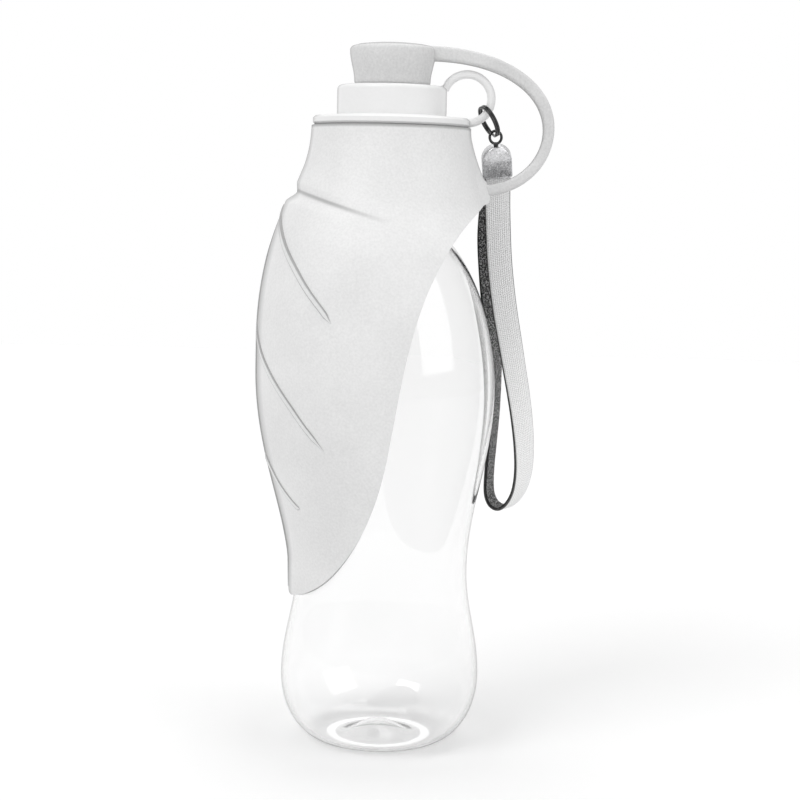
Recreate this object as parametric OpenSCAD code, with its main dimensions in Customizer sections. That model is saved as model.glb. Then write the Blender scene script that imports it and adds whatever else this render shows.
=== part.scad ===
// Dog travel water bottle: a waisted clear squeeze bottle, a one-piece silicone leaf bowl that
// folds down over it, a screw cap with a tethered stopper and a webbing wrist loop.
// Origin: on the bottle's axis at the surface it stands on. +Z up. The leaf's midrib is at -X,
// the cap's loop, the tether strap and the wrist loop are at +X.

/* [Bottle body] */
// Largest radius of the belly
belly_r = 36; // [34:0.5:39]
// Height of the belly's widest ring
belly_z = 116; // [108:1:124]
// Radius of the waist
waist_r = 28.4; // [26:0.2:31]
// Height of the waist
waist_z = 58; // [50:1:66]
// Radius of the base bulge
base_r = 33; // [31:0.5:35]
// Height of the base bulge's widest ring
base_z = 22; // [18:1:26]
// Outer radius of the ring that the bottle stands on
foot_r = 17.5; // [14:0.5:22]
// Width of the ring that the bottle stands on
foot_w = 3; // [2:0.5:5]
// Height of the pushed-up centre of the base
punt_h = 4.5; // [2:0.5:8]
// How far the shoulder's ellipse would rise above the belly
shoulder_rise = 60.5; // [50:0.5:64]
// Wall thickness of the blown body
wall = 1.2; // [0.8:0.1:2]

/* [Bottle neck] */
// Outer radius of the neck below the clamping ledge
neck_r = 17; // [16.5:0.25:18]
// Outer radius of the ledge that carries the sleeve's lip
ledge_r = 22; // [20:0.5:23]
// Thickness of the clamping ledge
ledge_t = 2.8; // [2:0.2:4]
// Outer radius of the neck's thread
thread_r = 15.4; // [15:0.1:16]
// Radius of the bore through the neck
bore_r = 12.8; // [11:0.2:13.4]
// Length of the neck above the sleeve's lip
finish_h = 9.4; // [8:0.2:12]

/* [Silicone sleeve and leaf] */
// Height of the sleeve's top rim
rim_z = 203.2; // [198:0.2:210]
// Radius of the sleeve's top rim
rim_r = 25.9; // [25:0.1:28]
// Radius of the sleeve at the fold over the leaf
fold_r = 30.4; // [29:0.2:32]
// Height of the fold over the leaf
fold_z = 181; // [178:0.5:184]
// How far the leaf steps out below the fold
fold_step = 2.9; // [1.5:0.1:4]
// Slope of the fold, which runs down from the midrib to the front and back
fold_slope = 11.5; // [6:0.5:13]
// Thickness of the silicone wall
leaf_t = 2.2; // [1.6:0.1:2.8]
// Thickness of the lip that is clamped under the cap
lip_t = 2.4; // [1.8:0.1:3]
// Space between the leaf's inside and the belly
leaf_gap = 4.3; // [3:0.1:7]
// Space between the leaf's inside and the waist
tip_gap = 1.25; // [1.2:0.05:2]
// Thickness of the leaf's tip as a part of its wall
tip_thin = 0.64; // [0.5:0.02:1]
// Height of the leaf's tip
tip_z = 47.8; // [44:0.2:54]
// Height of the raised veins over the leaf's face
vein_h = 0.5; // [0.2:0.1:0.8]
// Half width of a vein at the midrib
vein_w = 1.3; // [0.8:0.1:2]
// Height at which the leaf bends when it is lifted off the bottle
bend_z = 128; // [120:1:140]

/* [Tether strap and stopper] */
// Width of the strap
strap_w = 8; // [6:0.5:10]
// Thickness of the strap near the sleeve
strap_t = 3.2; // [2.6:0.1:4]
// Thickness of the strap at the stopper
strap_end_t = 4.6; // [3.6:0.1:5.4]
// Reach of the strap's arch from the bottle's axis
arch_reach = 51.1; // [49:0.1:56]
// Radius of the stopper at its lower edge
stopper_r = 12.3; // [11:0.1:14]
// Radius of the stopper at its upper edge
stopper_top_r = 13.9; // [12.5:0.1:16]
// Height of the stopper
stopper_h = 13.5; // [12:0.1:16]
// Rise of the stopper's domed top
stopper_dome = 1.2; // [0.6:0.1:2]

/* [Screw cap] */
// Outer radius of the cap's drum
drum_r = 17.8; // [17.4:0.1:19]
// Thickness of the drum's wall
drum_wall = 1.8; // [1.4:0.1:2]
// Thickness of the cap's roof
roof_t = 2; // [1.6:0.1:3]
// Radius of the flange that clamps the sleeve
flange_r = 25.5; // [24:0.1:27]
// Thickness of the flange
flange_t = 2.8; // [2:0.1:3.2]
// Radius of the drinking spout at the roof
spout_r = 7; // [6:0.1:7.4]
// Height of the drinking spout over the roof
spout_h = 4.4; // [3:0.1:5]
// Radius of the spout's water hole
spout_hole_r = 2; // [1.4:0.1:3]
// Thickness of the gasket under the roof
gasket_t = 1.4; // [1:0.1:2]
// Mid radius of the lanyard loop
loop_r = 7.85; // [7:0.05:9]
// Radius of the lanyard loop's round bar
loop_bar_r = 1.35; // [1:0.05:1.6]

/* [Wrist loop] */
// Outer radius of the split ring
ring_r = 5.6; // [5.4:0.1:6.2]
// Radial thickness of the split ring's wire
ring_wire = 0.9; // [0.7:0.05:1.1]
// Radius of the swivel eye's opening
eye_r = 1.6; // [1.6:0.05:1.8]
// Radius of the swivel eye's wire
eye_wire_r = 0.45; // [0.35:0.05:0.5]
// Width of the webbing clamp
clamp_w = 9.8; // [9.2:0.1:10.4]
// Length of the webbing clamp
clamp_l = 11.2; // [9:0.1:11.6]
// Thickness of the webbing clamp
clamp_t = 4.2; // [3.8:0.1:4.6]
// Width of the wrist loop's webbing
webbing_w = 8.4; // [7:0.1:9]
// Thickness of the wrist loop's webbing
webbing_t = 1.3; // [1:0.1:1.5]

/* [Clearances] */
// Gap between moulded pieces that seat on each other
seat_gap = 0.1; // [0.05:0.05:0.3]
// Gap between pieces that move past each other
run_gap = 0.3; // [0.2:0.05:0.5]
// Radial clearance of the swivel eye's stem in the clamp
stem_gap = 0.08; // [0.04:0.01:0.1]

/* [Hidden] */
$fn = 96;
big = 400;

// ---- shared curves ----
function ease(a, b, t) = a + (b - a) * (1 - cos(180 * t)) / 2;
function bezier(p, t) = pow(1 - t, 3) * p[0] + 3 * t * pow(1 - t, 2) * p[1]
    + 3 * t * t * (1 - t) * p[2] + t * t * t * p[3];
function bezier_tangent(p, t) = 3 * pow(1 - t, 2) * (p[1] - p[0])
    + 6 * t * (1 - t) * (p[2] - p[1]) + 3 * t * t * (p[3] - p[2]);
function unit(v) = v / norm(v);
function left_of(v) = [-v[1], v[0]];

// ---- bottle: outer radius of the body at height z, above the foot ----
function corner_r(z) = foot_r + (base_r - foot_r) * sqrt(1 - pow(1 - z / base_z, 2));
function body_r(z) =
    z < base_z ? corner_r(z) :
    z < waist_z ? ease(base_r, waist_r, (z - base_z) / (waist_z - base_z)) :
    z < belly_z ? ease(waist_r, belly_r, (z - waist_z) / (belly_z - waist_z)) :
    belly_r * sqrt(1 - pow((z - belly_z) / shoulder_rise, 2));
function punt_z(r) = punt_h * (1 + cos(180 * r / (foot_r - foot_w))) / 2;
shoulder_top = belly_z + shoulder_rise * sqrt(1 - pow(neck_r / belly_r, 2));
ledge_top = rim_z - lip_t - seat_gap;
neck_top = rim_z + finish_h;
neck_wall = 1.8;
body_steps = 40;
corner_steps = 9;
punt_steps = 8;

module bottle() {
    corner = [for (i = [0:corner_steps]) let (a = 90 * i / corner_steps)
        [foot_r + (base_r - foot_r) * sin(a), base_z * (1 - cos(a))]];
    side = [for (i = [1:body_steps]) let (z = base_z + (shoulder_top - base_z) * i / body_steps)
        [body_r(z), z]];
    punt = [for (i = [0:punt_steps]) let (r = (foot_r - foot_w) * i / punt_steps)
        [r, punt_z(r)]];
    inner_corner = [for (i = [0:corner_steps]) let (a = 90 * i / corner_steps)
        [foot_r + (base_r - foot_r) * sin(a) - wall * sin(a), base_z * (1 - cos(a)) + wall * cos(a)]];
    inner_side = [for (i = [1:body_steps]) let (z = base_z + (shoulder_top - base_z) * i / body_steps)
        [body_r(z) - wall, z - wall * 0.2 * (z > belly_z ? 1 : 0)]];
    inner_punt = [for (p = punt) p + [0, wall]];
    neck_outer = [[neck_r, ledge_top - ledge_t - 1], [ledge_r - 0.6, ledge_top - ledge_t],
        [ledge_r, ledge_top - ledge_t + 0.6], [ledge_r, ledge_top - 0.4], [ledge_r - 0.4, ledge_top],
        [thread_r, ledge_top], [thread_r, neck_top - 0.6], [thread_r - 0.6, neck_top]];
    neck_inner = [[bore_r + 0.4, neck_top], [bore_r, neck_top - 0.4], [bore_r, ledge_top - ledge_t - 2],
        [neck_r - neck_wall, ledge_top - ledge_t - 8]];
    color("gainsboro", 0.35)
    rotate_extrude()
    polygon(concat(punt, corner, side, neck_outer, neck_inner,
        reverse(concat(inner_punt, inner_corner, inner_side))));
}
function reverse(list) = [for (i = [len(list) - 1:-1:0]) list[i]];

// ---- sleeve and leaf: outer radius at height z, through the named rings of the moulding ----
leaf_belly_r = belly_r + leaf_gap + leaf_t;
leaf_tip_r = waist_r + tip_gap + leaf_t * tip_thin;
leaf_low_z = belly_z + 8;
leaf_high_z = belly_z + 18;
leaf_foot_z = waist_z + 2;
leaf_taper_z = waist_z + 22;
brow_z = fold_z - 2;
brow_low = brow_z - 18;
brow_back = leaf_belly_r + 0.5;
brow_shift = 6.2;
function leaf_side_r(z) = leaf_belly_r - (leaf_belly_r - fold_r - fold_step)
    * pow((z - leaf_high_z) / (brow_z - leaf_high_z), 2);
// The brow's radius and height at a height of the leaf's back, in the brow's own sloping frame
function brow_at(z) = let (dx = brow_back - leaf_side_r(z) + 0.4 * max(0, 1 - (z - brow_low) / 5),
    dz = z - brow_low) [brow_back - dx * cos(fold_slope) + dz * sin(fold_slope) - brow_shift,
    brow_low + dx * sin(fold_slope) + dz * cos(fold_slope)];
function hermite(a, sa, b, sb, span, t) = a * (1 - 3 * t * t + 2 * pow(t, 3))
    + sa * span * (t - 2 * t * t + pow(t, 3)) + b * (3 * t * t - 2 * pow(t, 3))
    + sb * span * (pow(t, 3) - t * t);
function leaf_r(z) =
    z > fold_z ? rim_r + (fold_r - rim_r) * pow((rim_z - z) / (rim_z - fold_z), 1.7) :
    z > brow_low ? hermite(leaf_side_r(brow_low), -0.24, fold_r, -0.34, fold_z - brow_low,
        (z - brow_low) / (fold_z - brow_low)) :
    z > leaf_high_z ? leaf_side_r(z) :
    z > leaf_low_z ? leaf_belly_r :
    z > leaf_foot_z ? ease(leaf_tip_r, leaf_belly_r,
        pow((z - leaf_foot_z) / (leaf_low_z - leaf_foot_z), 0.8)) :
    leaf_tip_r;
function wall_part(z) = z > leaf_taper_z ? 1
    : tip_thin + (1 - tip_thin) * (z - leaf_bottom) / (leaf_taper_z - leaf_bottom);
leaf_steps = 36;
brow_steps = 8;
leaf_bottom = tip_z - 4;
leaf_heights = [for (i = [0:leaf_steps - 1]) leaf_bottom + (fold_z - leaf_bottom) * i / leaf_steps];
sleeve_heights = [for (i = [0:8]) fold_z + (rim_z - fold_z) * i / 8];
shell_heights = concat(leaf_heights, sleeve_heights);

// The moulding as a filled form, moved out by grow. The brow makes the fold, which fades
// out towards the strap.
module filled(grow, spare) {
    rotate_extrude()
    polygon(concat([[0, leaf_bottom - spare], [leaf_r(leaf_bottom) + grow * tip_thin, leaf_bottom - spare]],
        [for (z = shell_heights) [leaf_r(z) + grow * wall_part(z), z]],
        [[rim_r + grow, rim_z + spare], [0, rim_z + spare]]));
    brow = [for (i = [0:brow_steps]) brow_at(brow_low + (brow_z + min(0, grow) - brow_low) * i / brow_steps)];
    top = brow[brow_steps];
    translate([-brow_back, 0, brow_low])
    rotate([0, fold_slope, 0])
    translate([brow_back - brow_shift, 0, -brow_low])
    rotate_extrude()
    polygon(concat([[0, brow[0][1]]], [for (b = brow) [b[0] + grow, b[1]]],
        [[top[0] + grow - fold_step, top[1] + 1.2], [0, top[1] + 1.2]]));
}

// The wall between the moulding's inner face and its outer face, raised by grow
module shell(inset, grow) {
    difference() {
        filled(grow, 0);
        filled(-inset, 1);
    }
}

// Edge of the leaf as seen from the side, from its tip up to the strap's root
root_x = 33;
edge_mid = [0.7, bend_z - 29.8];
edge_top = [28.6, fold_z - 4.5];
root_z = fold_z + 2.2;
root_bottom = [root_x, root_z - strap_t * 0.6];
lower_edge = [[-29.3, tip_z + 1.2], [-19.5, tip_z + 6.7], [-5, edge_mid[1] - 32.2], edge_mid];
upper_edge = [edge_mid, edge_mid + [4.8, 26.8], [7.5, edge_top[1] - 20], edge_top];
edge_steps = 12;
edge_points = concat(
    [for (i = [0:edge_steps]) bezier(lower_edge, i / edge_steps)],
    [for (i = [1:edge_steps]) bezier(upper_edge, i / edge_steps)]);

// Side outline of all that is left of the leaf's edge, between two heights
module side_outline(low, high) {
    rotate([90, 0, 0])
    linear_extrude(height = big, center = true)
    intersection() {
        polygon(concat(edge_points, [root_bottom, [root_x, rim_z + 10], [-big / 4, rim_z + 10],
            [-big / 4, tip_z], [-30.8, tip_z], [-30.2, tip_z + 0.4]]));
        translate([-big / 4, low]) square([big / 2, high - low]);
    }
}

// A side vein: a tapering curved band, seen from the side
module vein(from, bow, to) {
    p = [from, from + (bow - from) * 2 / 3, to + (bow - to) * 2 / 3, to];
    n = 6;
    upper = [for (i = [0:n]) let (t = i / n)
        bezier(p, t) + unit(left_of(bezier_tangent(p, t))) * vein_w * (1.1 - t)];
    lower = [for (i = [0:n]) let (t = i / n)
        bezier(p, t) - unit(left_of(bezier_tangent(p, t))) * vein_w * (1.1 - t)];
    polygon(concat(upper, reverse(lower)));
}

// The raised veins and midrib on the leaf's outer face
module veins() {
    intersection() {
        shell(leaf_t / 2, vein_h);
        union() {
            rotate([90, 0, 0])
            linear_extrude(height = big, center = true)
            union() {
                vein([-43, fold_z - 10], [-32, fold_z - 27], [-19.4, fold_z - 38.5]);
                vein([-46, bend_z + 12], [-35.5, bend_z - 8], [-20, bend_z - 26]);
                vein([-44, bend_z - 28], [-33.5, bend_z - 44], [-24, bend_z - 52]);
            }
            translate([-big / 4, -vein_w, tip_z]) cube([big / 4, 2 * vein_w, fold_z - 3 - tip_z]);
        }
    }
}

// Side outline of the strap's root, where the sleeve sweeps out to carry it
module root_outline() {
    polygon([[rim_r - 1, fold_z + 18], [fold_r - 2.6, fold_z + 13], [fold_r - 1.2, fold_z + 9],
        [fold_r + 0.3, fold_z + 5.6], [root_x, root_z + strap_t * 0.6], root_bottom, edge_top,
        [rim_r - 2, fold_z - 8]]);
}

module sleeve() {
    color("lightgray") {
        intersection() {
            union() {
                shell(leaf_t, 0);
                veins();
            }
            side_outline(bend_z, rim_z + 5);
        }
        // clamped lip round the neck
        translate([0, 0, rim_z - lip_t])
        difference() {
            cylinder(r = rim_r - leaf_t / 2, h = lip_t);
            translate([0, 0, -1]) cylinder(r = thread_r + run_gap, h = lip_t + 2);
        }
        // root of the strap
        difference() {
            translate([0, strap_w / 2, 0])
            rotate([90, 0, 0])
            linear_extrude(height = strap_w)
            intersection() {
                root_outline();
                square([root_x - run_gap / 2, big]);
            }
            rotate_extrude()
            polygon(concat([[0, fold_z - 20]],
                [for (z = shell_heights) if (z > fold_z - 20) [leaf_r(z) - leaf_t / 2, z]],
                [[0, rim_z]]));
        }
    }
}

module leaf_blade() {
    color("lightgray")
    intersection() {
        union() {
            shell(leaf_t, 0);
            veins();
        }
        side_outline(tip_z - 1, bend_z - run_gap);
    }
}

// ---- tether strap: a band along two curves, from the sleeve's root over to the stopper ----
roof_top = neck_top + seat_gap + gasket_t + seat_gap + roof_t;
stopper_z = roof_top + run_gap;
stopper_top = stopper_z + stopper_h;
lug_x = stopper_top_r + 2.4;
arch_z = rim_z - 0.2;
lower_arch = [[root_x - 2, root_z], [43, root_z + 1], [arch_reach, arch_z - 10], [arch_reach, arch_z]];
upper_arch = [[arch_reach, arch_z], [arch_reach, arch_z + 12.5], [37.5, stopper_top - 3.3],
    [lug_x - 4, stopper_top - 3.2]];
strap_steps = 14;

// Side outline of a strap section whose thickness runs from t0 to t1
module strap_outline(p, t0, t1) {
    side = [for (i = [0:strap_steps]) let (t = i / strap_steps) [bezier(p, t),
        unit(left_of(bezier_tangent(p, t))) * (t0 + (t1 - t0) * t) / 2]];
    polygon(concat([for (s = side) s[0] + s[1]], reverse([for (s = side) s[0] - s[1]])));
}
module strap_band() {
    translate([0, strap_w / 2, 0]) rotate([90, 0, 0]) linear_extrude(height = strap_w) children();
}

module strap_lower() {
    color("silver")
    strap_band()
    intersection() {
        strap_outline(lower_arch, strap_t * 1.15, strap_t);
        translate([root_x + run_gap / 2, 0]) square([big, arch_z - run_gap / 2]);
    }
}

module strap_upper() {
    color("silver")
    strap_band()
    intersection() {
        strap_outline(upper_arch, strap_t, strap_end_t);
        translate([lug_x, arch_z + run_gap / 2]) square([big, big]);
    }
}

module stopper() {
    edge = 1.4;
    cup_r = spout_r + 1.5;
    cup_top_r = cup_r - 1.7;
    cup_h = spout_h + 0.9;
    skirt = stopper_top - stopper_dome - edge;
    color("silver")
    union() {
        difference() {
            union() {
                rotate_extrude()
                polygon(concat(
                    [[0, stopper_z], [stopper_r - 0.4, stopper_z], [stopper_r, stopper_z + 0.4]],
                    [for (a = [0:15:90]) [stopper_top_r - edge * (1 - cos(a)), skirt + edge * sin(a)]],
                    [for (i = [1:6]) let (r = (stopper_top_r - edge) * (1 - i / 6))
                        [r, stopper_top - stopper_dome * pow(r / stopper_top_r, 2)]]));
                // lug that carries the strap
                strap_band()
                intersection() {
                    strap_outline(upper_arch, strap_t, strap_end_t);
                    translate([stopper_r - 4, 0]) square([lug_x - stopper_r + 4, big]);
                }
            }
            // hollow cup over the drinking spout
            translate([0, 0, stopper_z - 0.01]) cylinder(r1 = cup_r, r2 = cup_top_r, h = cup_h);
        }
        // nib that closes the water hole
        translate([0, 0, stopper_z + cup_h - 1.5])
        cylinder(r1 = spout_hole_r * 0.45, r2 = spout_hole_r * 0.75, h = 2);
    }
}

// ---- screw cap ----
flange_z = rim_z + seat_gap;
loop_x = drum_r + loop_r - 1.25;
loop_z = flange_z + flange_t + loop_r - loop_bar_r;
module cap() {
    edge = 1.5;
    lip = 0.7;
    web_t = 1.6;
    drum_in = drum_r - drum_wall;
    color("white") {
        difference() {
            rotate_extrude()
            polygon(concat(
                [[0, roof_top - roof_t], [drum_in, roof_top - roof_t], [drum_in, flange_z],
                 [flange_r - lip, flange_z], [flange_r, flange_z + lip],
                 [flange_r, flange_z + flange_t - lip], [flange_r - lip, flange_z + flange_t],
                 [drum_r + 0.6, flange_z + flange_t], [drum_r, flange_z + flange_t + 0.6]],
                [for (a = [0:15:90]) [drum_r - edge * (1 - cos(a)), roof_top - edge * (1 - sin(a))]],
                [[spout_r + 0.3, roof_top], [spout_r, roof_top + 0.3],
                 [spout_r - 1.8, roof_top + spout_h - 0.4], [spout_r - 2.2, roof_top + spout_h],
                 [0, roof_top + spout_h]]));
            translate([0, 0, roof_top - roof_t - 1]) cylinder(r = spout_hole_r, h = roof_t + spout_h + 2);
        }
        // lanyard loop: a round bar bent from the flange up and over to the drum
        difference() {
            translate([loop_x, 0, loop_z])
            rotate([90, 0, 0])
            rotate([0, 0, -90])
            rotate_extrude(angle = 250) translate([loop_r, 0]) circle(r = loop_bar_r, $fn = 32);
            translate([0, 0, flange_z - 5]) cylinder(r = drum_in + drum_wall / 2, h = 40);
        }
        // web that runs the roof's edge into the loop
        translate([0, web_t / 2, 0])
        rotate([90, 0, 0])
        linear_extrude(height = web_t)
        polygon([[drum_r - 4, roof_top - 1], [drum_r - 3.6, roof_top], [drum_r - 2.4, roof_top + 0.1],
            [drum_r - 1.5, roof_top + 0.6], [drum_r - 0.9, roof_top + 1.4],
            [drum_r - 0.4, roof_top + 2.5], [drum_r + 0.6, roof_top + 2.5],
            [drum_r, roof_top + 0.5], [drum_r - 0.3, roof_top - 1]]);
    }
}

module cap_gasket() {
    color("dimgray")
    translate([0, 0, neck_top + seat_gap])
    difference() {
        cylinder(r = drum_r - drum_wall - 0.3, h = gasket_t);
        translate([0, 0, -1]) cylinder(r = bore_r - 0.8, h = gasket_t + 2);
    }
}

// ---- wrist loop's hardware ----
// The split ring hangs on the loop's bar at this angle below the loop's centre
hang_angle = 38;
ring_tilt = 62;
ring_turn = 18;
bar_point = [loop_x + loop_r * cos(hang_angle), 0, loop_z - loop_r * sin(hang_angle)];
ring_normal = [sin(ring_tilt) * cos(ring_turn), sin(ring_tilt) * sin(ring_turn), cos(ring_tilt)];
ring_down = unit([0, 0, -1] + ring_normal * ring_normal[2]);
ring_in = ring_r - ring_wire;
ring_slack = 0.9;
ring_centre = bar_point + ring_down * (ring_in - loop_bar_r - ring_slack);
ring_low = ring_centre + ring_down * (ring_r - ring_wire / 2);
ring_width = 1.6;

module split_ring() {
    soft = ring_wire / 3;
    color("dimgray")
    translate(ring_centre)
    rotate([0, ring_tilt, ring_turn])
    rotate_extrude()
    translate([ring_in, -ring_width / 2])
    polygon([[soft, 0], [ring_wire - soft, 0], [ring_wire, soft], [ring_wire, ring_width - soft],
        [ring_wire - soft, ring_width], [soft, ring_width], [0, ring_width - soft], [0, soft]]);
}

// The eye, its stem and the clamp share one line, which leans back round the strap's root
// and out over the fold: beside a fold of plumb_fold_r it would hang plumb
plumb_fold_r = 27.4;
lean_per_mm = 2;
lean = [25, (plumb_fold_r - fold_r) * lean_per_mm, 0];
lean_down = [sin(-lean[1]) * cos(lean[0]), sin(lean[0]), -cos(lean[1]) * cos(lean[0])];
eye_slack = 0.55;
eye_centre = ring_low + lean_down * eye_slack;
eye_out = eye_r + 2 * eye_wire_r;
stem_r = 0.8;
stem_head_r = 1.5;
stem_l = 4;
clamp_top = eye_out + 0.3;
clamp_bottom = clamp_top + clamp_l;
pocket_depth = 2.6;
pocket_gap = 0.2;
module on_lanyard() {
    translate(eye_centre) rotate(lean) children();
}

module swivel_eye() {
    color("dimgray")
    translate(eye_centre)
    rotate([90, 0, ring_turn])
    rotate_extrude() translate([eye_r + eye_wire_r, 0]) circle(r = eye_wire_r, $fn = 24);
    color("dimgray")
    on_lanyard() {
        translate([0, 0, -eye_out - stem_l]) cylinder(r = stem_r, h = stem_l + 0.5, $fn = 48);
        translate([0, 0, -eye_out - stem_l]) cylinder(r = stem_head_r, h = 1, $fn = 48);
    }
}

module webbing_clamp() {
    arch_r = clamp_w / 2;
    color("black")
    on_lanyard()
    difference() {
        translate([0, clamp_t / 2, -clamp_top])
        rotate([90, 0, 0])
        linear_extrude(height = clamp_t)
        union() {
            intersection() {
                translate([0, -arch_r]) circle(r = arch_r);
                translate([-arch_r, -arch_r]) square([2 * arch_r, arch_r]);
            }
            translate([-arch_r, -clamp_l]) square([2 * arch_r, clamp_l - arch_r]);
        }
        // bore for the stem and pocket for its head
        translate([0, 0, -clamp_top - 8]) cylinder(r = stem_r + stem_gap, h = 9, $fn = 48);
        translate([0, 0, -eye_out - stem_l - 0.6])
        cylinder(r = stem_head_r + 0.15, h = 1.9, $fn = 48);
        // pocket that holds both ends of the webbing
        translate([-webbing_w / 2 - seat_gap, -webbing_t - pocket_gap, -clamp_bottom - 1])
        cube([webbing_w + 2 * seat_gap, 2 * (webbing_t + pocket_gap), pocket_depth + 1]);
    }
}

// Route of the webbing from the clamp, round the loop and back: [x, y, z, turn of its width]
lean_back = [sin(lean[0]) * sin(lean[1]), cos(lean[0]), sin(lean[0]) * cos(lean[1])];
function in_clamp(down, back) = concat(eye_centre + lean_down * (clamp_bottom + down)
    + lean_back * back, [2]);
layer = webbing_t / 2 + pocket_gap / 2;
webbing_route = [
    in_clamp(0.3 - pocket_depth, -layer), in_clamp(0.6, -layer),
    [35.6, 7.0, 183, 2], [35.8, 7.3, 178, 2], [36.3, 7.7, 170, 4],
    [37.0, 8.1, 161, 6], [38.1, 8.3, 152, 8], [39.5, 8.4, 143, 11], [41.2, 8.3, 134, 14],
    [42.9, 8.0, 125, 18], [44.6, 7.6, 116, 23], [46.0, 7.0, 107, 29], [46.9, 6.6, 98, 36],
    [46.9, 6.4, 90, 44], [45.7, 6.8, 83.5, 52], [43.2, 7.8, 79, 59], [40.2, 9.2, 77, 64],
    [37.4, 10.8, 78.2, 67], [35.9, 12.3, 82, 69], [35.9, 13.8, 89, 70], [36.6, 15.0, 98, 70],
    [37.3, 15.9, 108, 69], [37.4, 16.4, 118, 66], [36.9, 16.3, 128, 60], [36.0, 15.8, 138, 50],
    [35.1, 15.2, 148, 38], [34.4, 14.4, 158, 26], [33.9, 13.4, 167, 15], [34.0, 12.5, 174, 6],
    [34.5, 11.2, 179.5, 2], [35.1, 9.6, 184.5, 2],
    in_clamp(0.6, layer), in_clamp(0.3 - pocket_depth, layer)];

function point(i) = [webbing_route[i][0], webbing_route[i][1], webbing_route[i][2]];
function route_tangent(i) = unit(point(min(i + 1, len(webbing_route) - 1)) - point(max(i - 1, 0)));
function across(i) = let (a = webbing_route[i][3], w = [cos(a), sin(a), 0], t = route_tangent(i))
    unit(w - t * (w * t));
function webbing_ring(i) = let (w = across(i), n = cross(route_tangent(i), w),
    a = webbing_w / 2, b = webbing_t / 2, c = webbing_t / 4)
    [for (q = [[a, -b + c], [a, b - c], [a - c, b], [-a + c, b], [-a, b - c], [-a, -b + c],
        [-a + c, -b], [a - c, -b]]) point(i) + w * q[0] + n * q[1]];

module wrist_webbing() {
    n = len(webbing_route);
    sides = 8;
    color("gray")
    polyhedron(
        points = [for (i = [0:n - 1]) each webbing_ring(i)],
        faces = concat(
            [[for (k = [0:sides - 1]) k]],
            [for (i = [0:n - 2], k = [0:sides - 1]) let (m = (k + 1) % sides)
                each [[i * sides + k, (i + 1) * sides + k, (i + 1) * sides + m],
                    [i * sides + k, (i + 1) * sides + m, i * sides + m]]],
            [[for (k = [sides - 1:-1:0]) (n - 1) * sides + k]]),
        convexity = 4);
}

bottle();
sleeve();
leaf_blade();
strap_lower();
strap_upper();
stopper();
cap();
cap_gasket();
split_ring();
swivel_eye();
webbing_clamp();
wrist_webbing();
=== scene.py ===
"""A dog's travel water bottle: clear squeeze bottle, silicone leaf bowl, screw cap, wrist loop.

Every piece is drawn in millimetres round the bottle's axis and written in metres.
The leaf's midrib is at -X and the strap's root at +X.
"""

import math

import bmesh
import bpy
from mathutils import Matrix, Vector


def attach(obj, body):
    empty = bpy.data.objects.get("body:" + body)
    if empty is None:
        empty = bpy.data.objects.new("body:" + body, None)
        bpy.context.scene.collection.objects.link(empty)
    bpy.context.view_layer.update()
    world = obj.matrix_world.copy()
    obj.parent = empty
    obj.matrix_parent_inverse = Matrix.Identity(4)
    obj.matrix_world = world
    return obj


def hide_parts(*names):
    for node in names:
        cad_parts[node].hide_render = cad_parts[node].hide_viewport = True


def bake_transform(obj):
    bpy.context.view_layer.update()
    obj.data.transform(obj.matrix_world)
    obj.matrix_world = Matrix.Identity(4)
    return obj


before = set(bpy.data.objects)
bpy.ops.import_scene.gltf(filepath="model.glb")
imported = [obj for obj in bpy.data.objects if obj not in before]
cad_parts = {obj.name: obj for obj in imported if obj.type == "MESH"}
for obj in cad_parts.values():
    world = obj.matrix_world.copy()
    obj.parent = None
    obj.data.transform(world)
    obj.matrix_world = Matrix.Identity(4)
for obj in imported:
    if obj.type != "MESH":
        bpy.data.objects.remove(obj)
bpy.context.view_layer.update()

bl_info = {
    "name": "Dog travel water bottle",
    "version": (1, 0, 0),
    "blender": (4, 5, 0),
    "location": "View3D > Sidebar > Bottle",
    "description": "Builds a leaf-bowl travel bottle piece by piece over its frame",
    "category": "Add Mesh",
}

MM = 0.001
FULL_TURN = 2 * math.pi


# ---- sizes and colours ----
def length(name, description, default):
    """A length in metres, given here in millimetres."""
    return bpy.props.FloatProperty(
        name=name, description=description, default=default * MM, min=0, unit="LENGTH", precision=4
    )


def tone(name, description, default):
    """A colour."""
    return bpy.props.FloatVectorProperty(
        name=name, description=description, default=default, min=0, max=1, size=3, subtype="COLOR"
    )


def share(name, description, default):
    """A number from 0 to 1."""
    return bpy.props.FloatProperty(
        name=name, description=description, default=default, min=0, max=1, subtype="FACTOR"
    )


class BottleSizes(bpy.types.PropertyGroup):
    """Sizes of the blown bottle."""

    belly_radius: length("Belly radius", "Largest radius of the body", 36)
    waist_radius: length("Waist radius", "Smallest radius of the body", 28.4)
    base_radius: length("Base radius", "Radius of the bulge above the foot", 33)
    wall: length("Wall", "Thickness of the blown wall", 1.2)


class MouldingSizes(bpy.types.PropertyGroup):
    """Sizes of the silicone sleeve, leaf, strap and stopper."""

    leaf_radius: length("Leaf radius", "Radius of the leaf over the belly", 42.5)
    rim_radius: length("Rim radius", "Radius of the sleeve's top edge", 25.9)
    wall: length("Wall", "Thickness of the silicone", 2.2)
    vein_height: length("Vein height", "How far the veins stand out", 0.6)
    strap_width: length("Strap width", "Width of the strap over the cap", 8)
    stopper_radius: length("Stopper radius", "Radius of the stopper's top edge", 13.9)


class WristSizes(bpy.types.PropertyGroup):
    """Sizes of the split ring, its clamp and the webbing."""

    ring_radius: length("Ring radius", "Outer radius of the split ring", 5.6)
    clamp_width: length("Clamp width", "Width of the webbing clamp", 9.8)
    webbing_width: length("Webbing width", "Width of the wrist loop", 8.4)
    webbing_thickness: length("Webbing thickness", "Thickness of the wrist loop", 1.3)


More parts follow.
